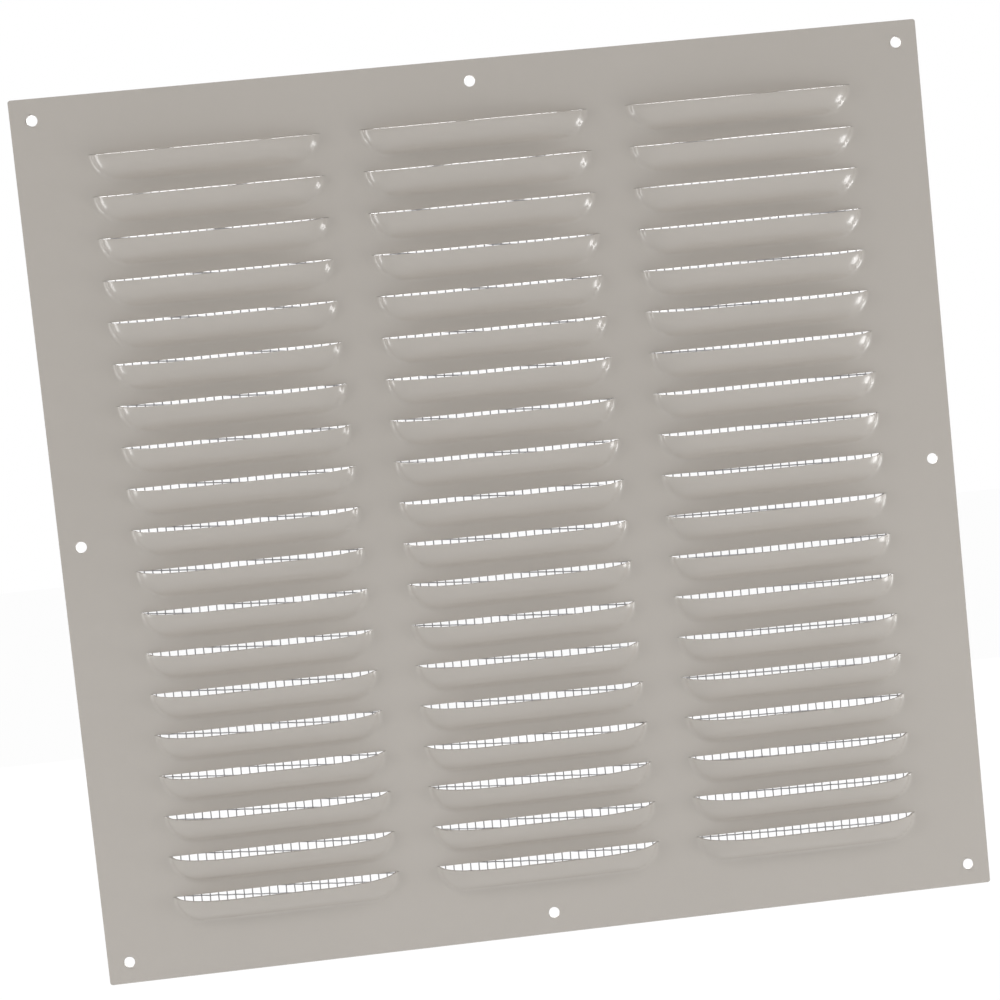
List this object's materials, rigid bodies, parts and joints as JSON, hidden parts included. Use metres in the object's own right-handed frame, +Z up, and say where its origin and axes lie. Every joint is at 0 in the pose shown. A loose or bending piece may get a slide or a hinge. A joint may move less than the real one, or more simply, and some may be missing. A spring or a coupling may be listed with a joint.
{
  "type": "louvred ventilation grille",
  "caption": "Flat, nearly square wall vent pressed from one painted sheet, with rows of round-ended louvres, screw holes round the edge and a wire mesh behind.",
  "frame": {"origin": "centre of the four corner screw holes, on the flat back of the face sheet", "axes": "+Z up the wall, as the picture has it up, +Y into the wall, -Y out of the louvred front, +X to the right seen from the front"},
  "size_m": [0.4, 0.0092, 0.391],
  "materials": {
    "painted_sheet": "semi-gloss warm light grey powder coat",
    "galvanised_wire": "plain galvanised wire"
  },
  "bodies": {
    "root": {"face_sheet": "painted_sheet", "wire_mesh": "galvanised_wire"}
  },
  "joints": []
}
